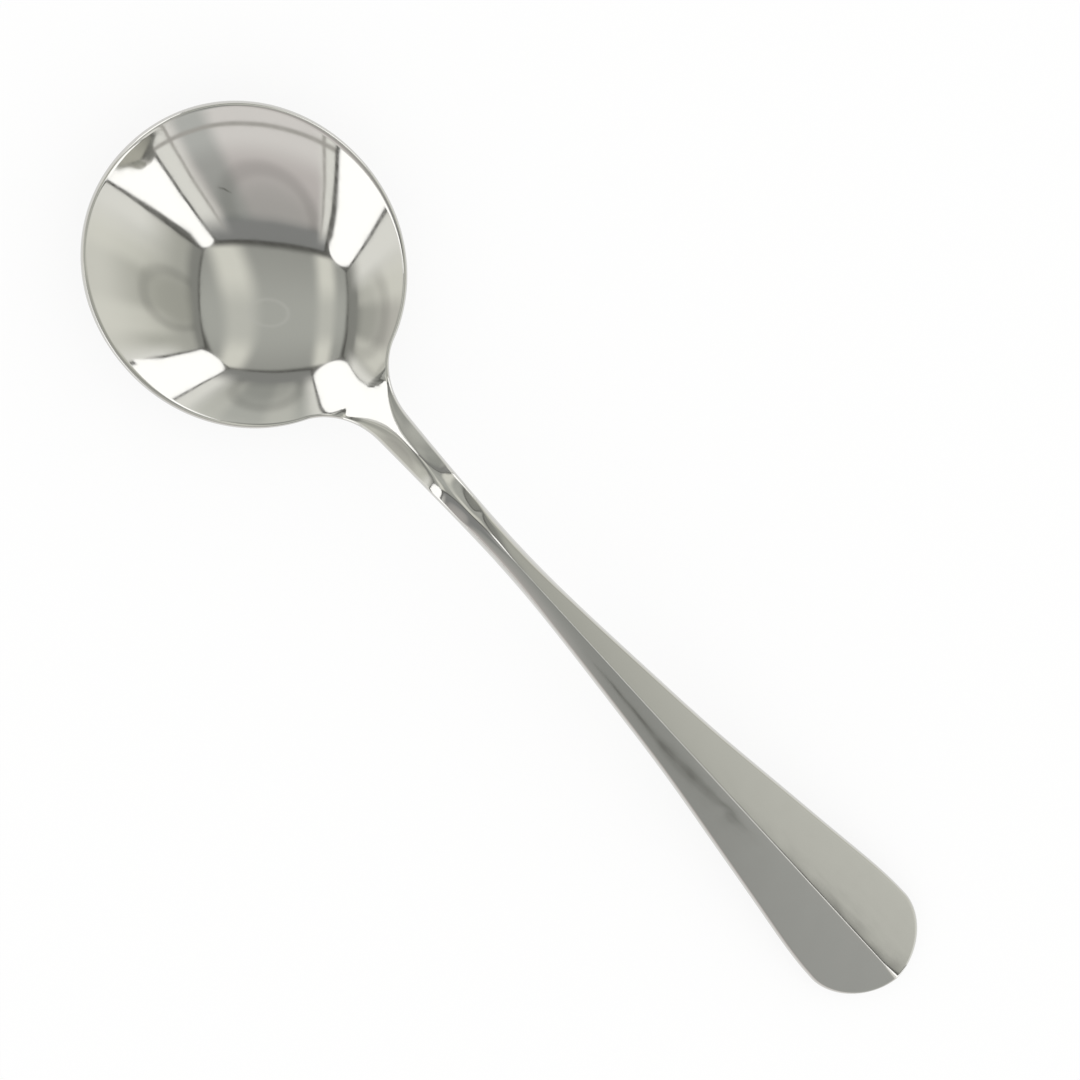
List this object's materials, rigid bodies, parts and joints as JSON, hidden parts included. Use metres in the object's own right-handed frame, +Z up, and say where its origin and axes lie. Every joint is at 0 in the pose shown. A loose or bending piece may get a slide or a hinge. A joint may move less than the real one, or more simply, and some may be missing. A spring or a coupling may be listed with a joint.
{
  "type": "soup spoon",
  "caption": "Round-bowled soup spoon with a bevelled neck, a slim arched stem and a flared handle with a centre ridge and a rounded end.",
  "frame": {"origin": "on the table, under the middle of the spoon's length and width, at rest on its bowl and handle end", "axes": "+X from the bowl to the handle's end, +Y across the spoon, +Z up out of the bowl"},
  "size_m": [0.1746, 0.0444, 0.0203],
  "materials": {
    "polished_steel": "mirror polished"
  },
  "bodies": {
    "root": {"spoon": "polished_steel"}
  },
  "joints": []
}
